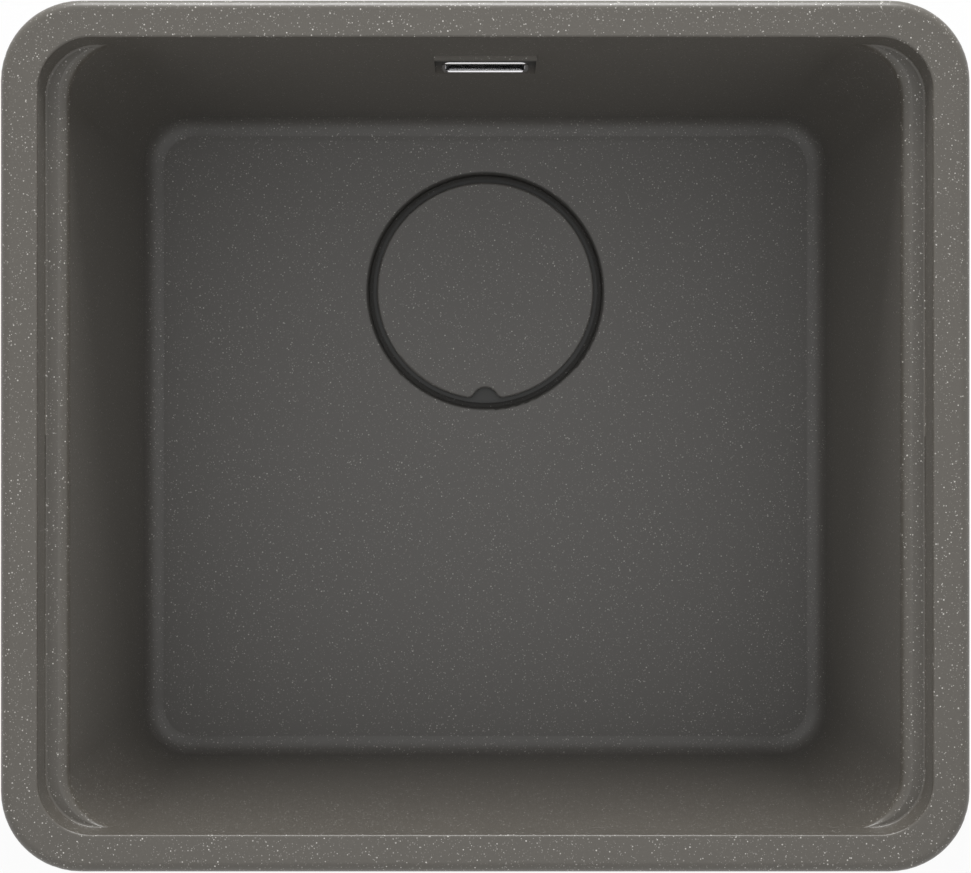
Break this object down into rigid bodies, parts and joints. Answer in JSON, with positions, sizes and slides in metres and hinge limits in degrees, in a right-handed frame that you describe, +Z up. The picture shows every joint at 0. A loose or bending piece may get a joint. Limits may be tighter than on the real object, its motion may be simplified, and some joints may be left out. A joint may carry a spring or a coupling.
{
  "type": "granite sink",
  "caption": "Inset kitchen sink of dark granite composite: square bowl with side ledges, covered basket strainer, slotted overflow with hose, and swing clips under the rim.",
  "frame": {"origin": "middle of the bowl's opening, on the worktop's surface, which the rim's underside rests on", "axes": "+Z up, +Y to the wall behind the sink and the overflow, +X to the right of a person at the sink"},
  "size_m": [0.456, 0.4258, 0.311],
  "materials": {
    "granite": "matt composite with fine pale grains",
    "steel": "stainless sheet",
    "chrome": "polished chrome plate",
    "zinc_steel": "zinc plated steel",
    "brass": "turned brass",
    "rubber": "moulded rubber",
    "silicone": "soft silicone",
    "white_plastic": "moulded polypropylene",
    "hose_plastic": "corrugated polyethylene",
    "grey_plastic": "moulded plastic",
    "black_plastic": "moulded plastic"
  },
  "bodies": {
    "sink": {"sink_bowl": "granite", "flange_gasket": "rubber", "strainer_flange": "steel", "waste_bolt": "steel", "waste_nut": "brass", "waste_gasket": "rubber", "waste_body": "white_plastic", "waste_tail": "white_plastic", "overflow_frame": "chrome", "overflow_screws": "steel", "overflow_gasket": "rubber", "overflow_head": "white_plastic", "overflow_hose": "hose_plastic", "upper_union_nut": "black_plastic", "upper_union_seal": "rubber", "lower_union_nut": "black_plastic", "lower_union_seal": "rubber", "clip_inserts": "brass", "clip_screws": "zinc_steel"},
    "cover": {"drain_cover": "granite", "cover_carrier": "grey_plastic", "cover_feet": "silicone"},
    "basket": {"strainer_basket": "steel", "basket_seal": "rubber", "basket_knob": "chrome", "basket_stem": "black_plastic"},
    "clip_1": {"clip_arm_1": "zinc_steel"},
    "clip_2": {"clip_arm_2": "zinc_steel"},
    "clip_3": {"clip_arm_3": "zinc_steel"},
    "clip_4": {"clip_arm_4": "zinc_steel"},
    "clip_5": {"clip_arm_5": "zinc_steel"},
    "clip_6": {"clip_arm_6": "zinc_steel"}
  },
  "joints": [
    {"name": "cover_lift", "type": "slide", "parent": "sink", "child": "cover", "axis": [0, 0, 1], "range_m": [0, 0.23]},
    {"name": "basket_lift", "type": "slide", "parent": "sink", "child": "basket", "axis": [0, 0, 1], "range_m": [0, 0.008]},
    {"name": "clip_1_swing", "type": "hinge", "parent": "sink", "child": "clip_1", "pos_m": [0.21071, -0.112, -0.052], "axis": [0, 0, 1], "range_deg": [0, 90]},
    {"name": "clip_2_swing", "type": "hinge", "parent": "sink", "child": "clip_2", "pos_m": [0.21071, 0, -0.052], "axis": [0, 0, 1], "range_deg": [0, 90]},
    {"name": "clip_3_swing", "type": "hinge", "parent": "sink", "child": "clip_3", "pos_m": [0.21071, 0.112, -0.052], "axis": [0, 0, 1], "range_deg": [0, 90]},
    {"name": "clip_4_swing", "type": "hinge", "parent": "sink", "child": "clip_4", "pos_m": [-0.21071, -0.112, -0.052], "axis": [0, 0, 1], "range_deg": [-90, 0]},
    {"name": "clip_5_swing", "type": "hinge", "parent": "sink", "child": "clip_5", "pos_m": [-0.21071, 0, -0.052], "axis": [0, 0, 1], "range_deg": [-90, 0]},
    {"name": "clip_6_swing", "type": "hinge", "parent": "sink", "child": "clip_6", "pos_m": [-0.21071, 0.112, -0.052], "axis": [0, 0, 1], "range_deg": [-90, 0]}
  ]
}
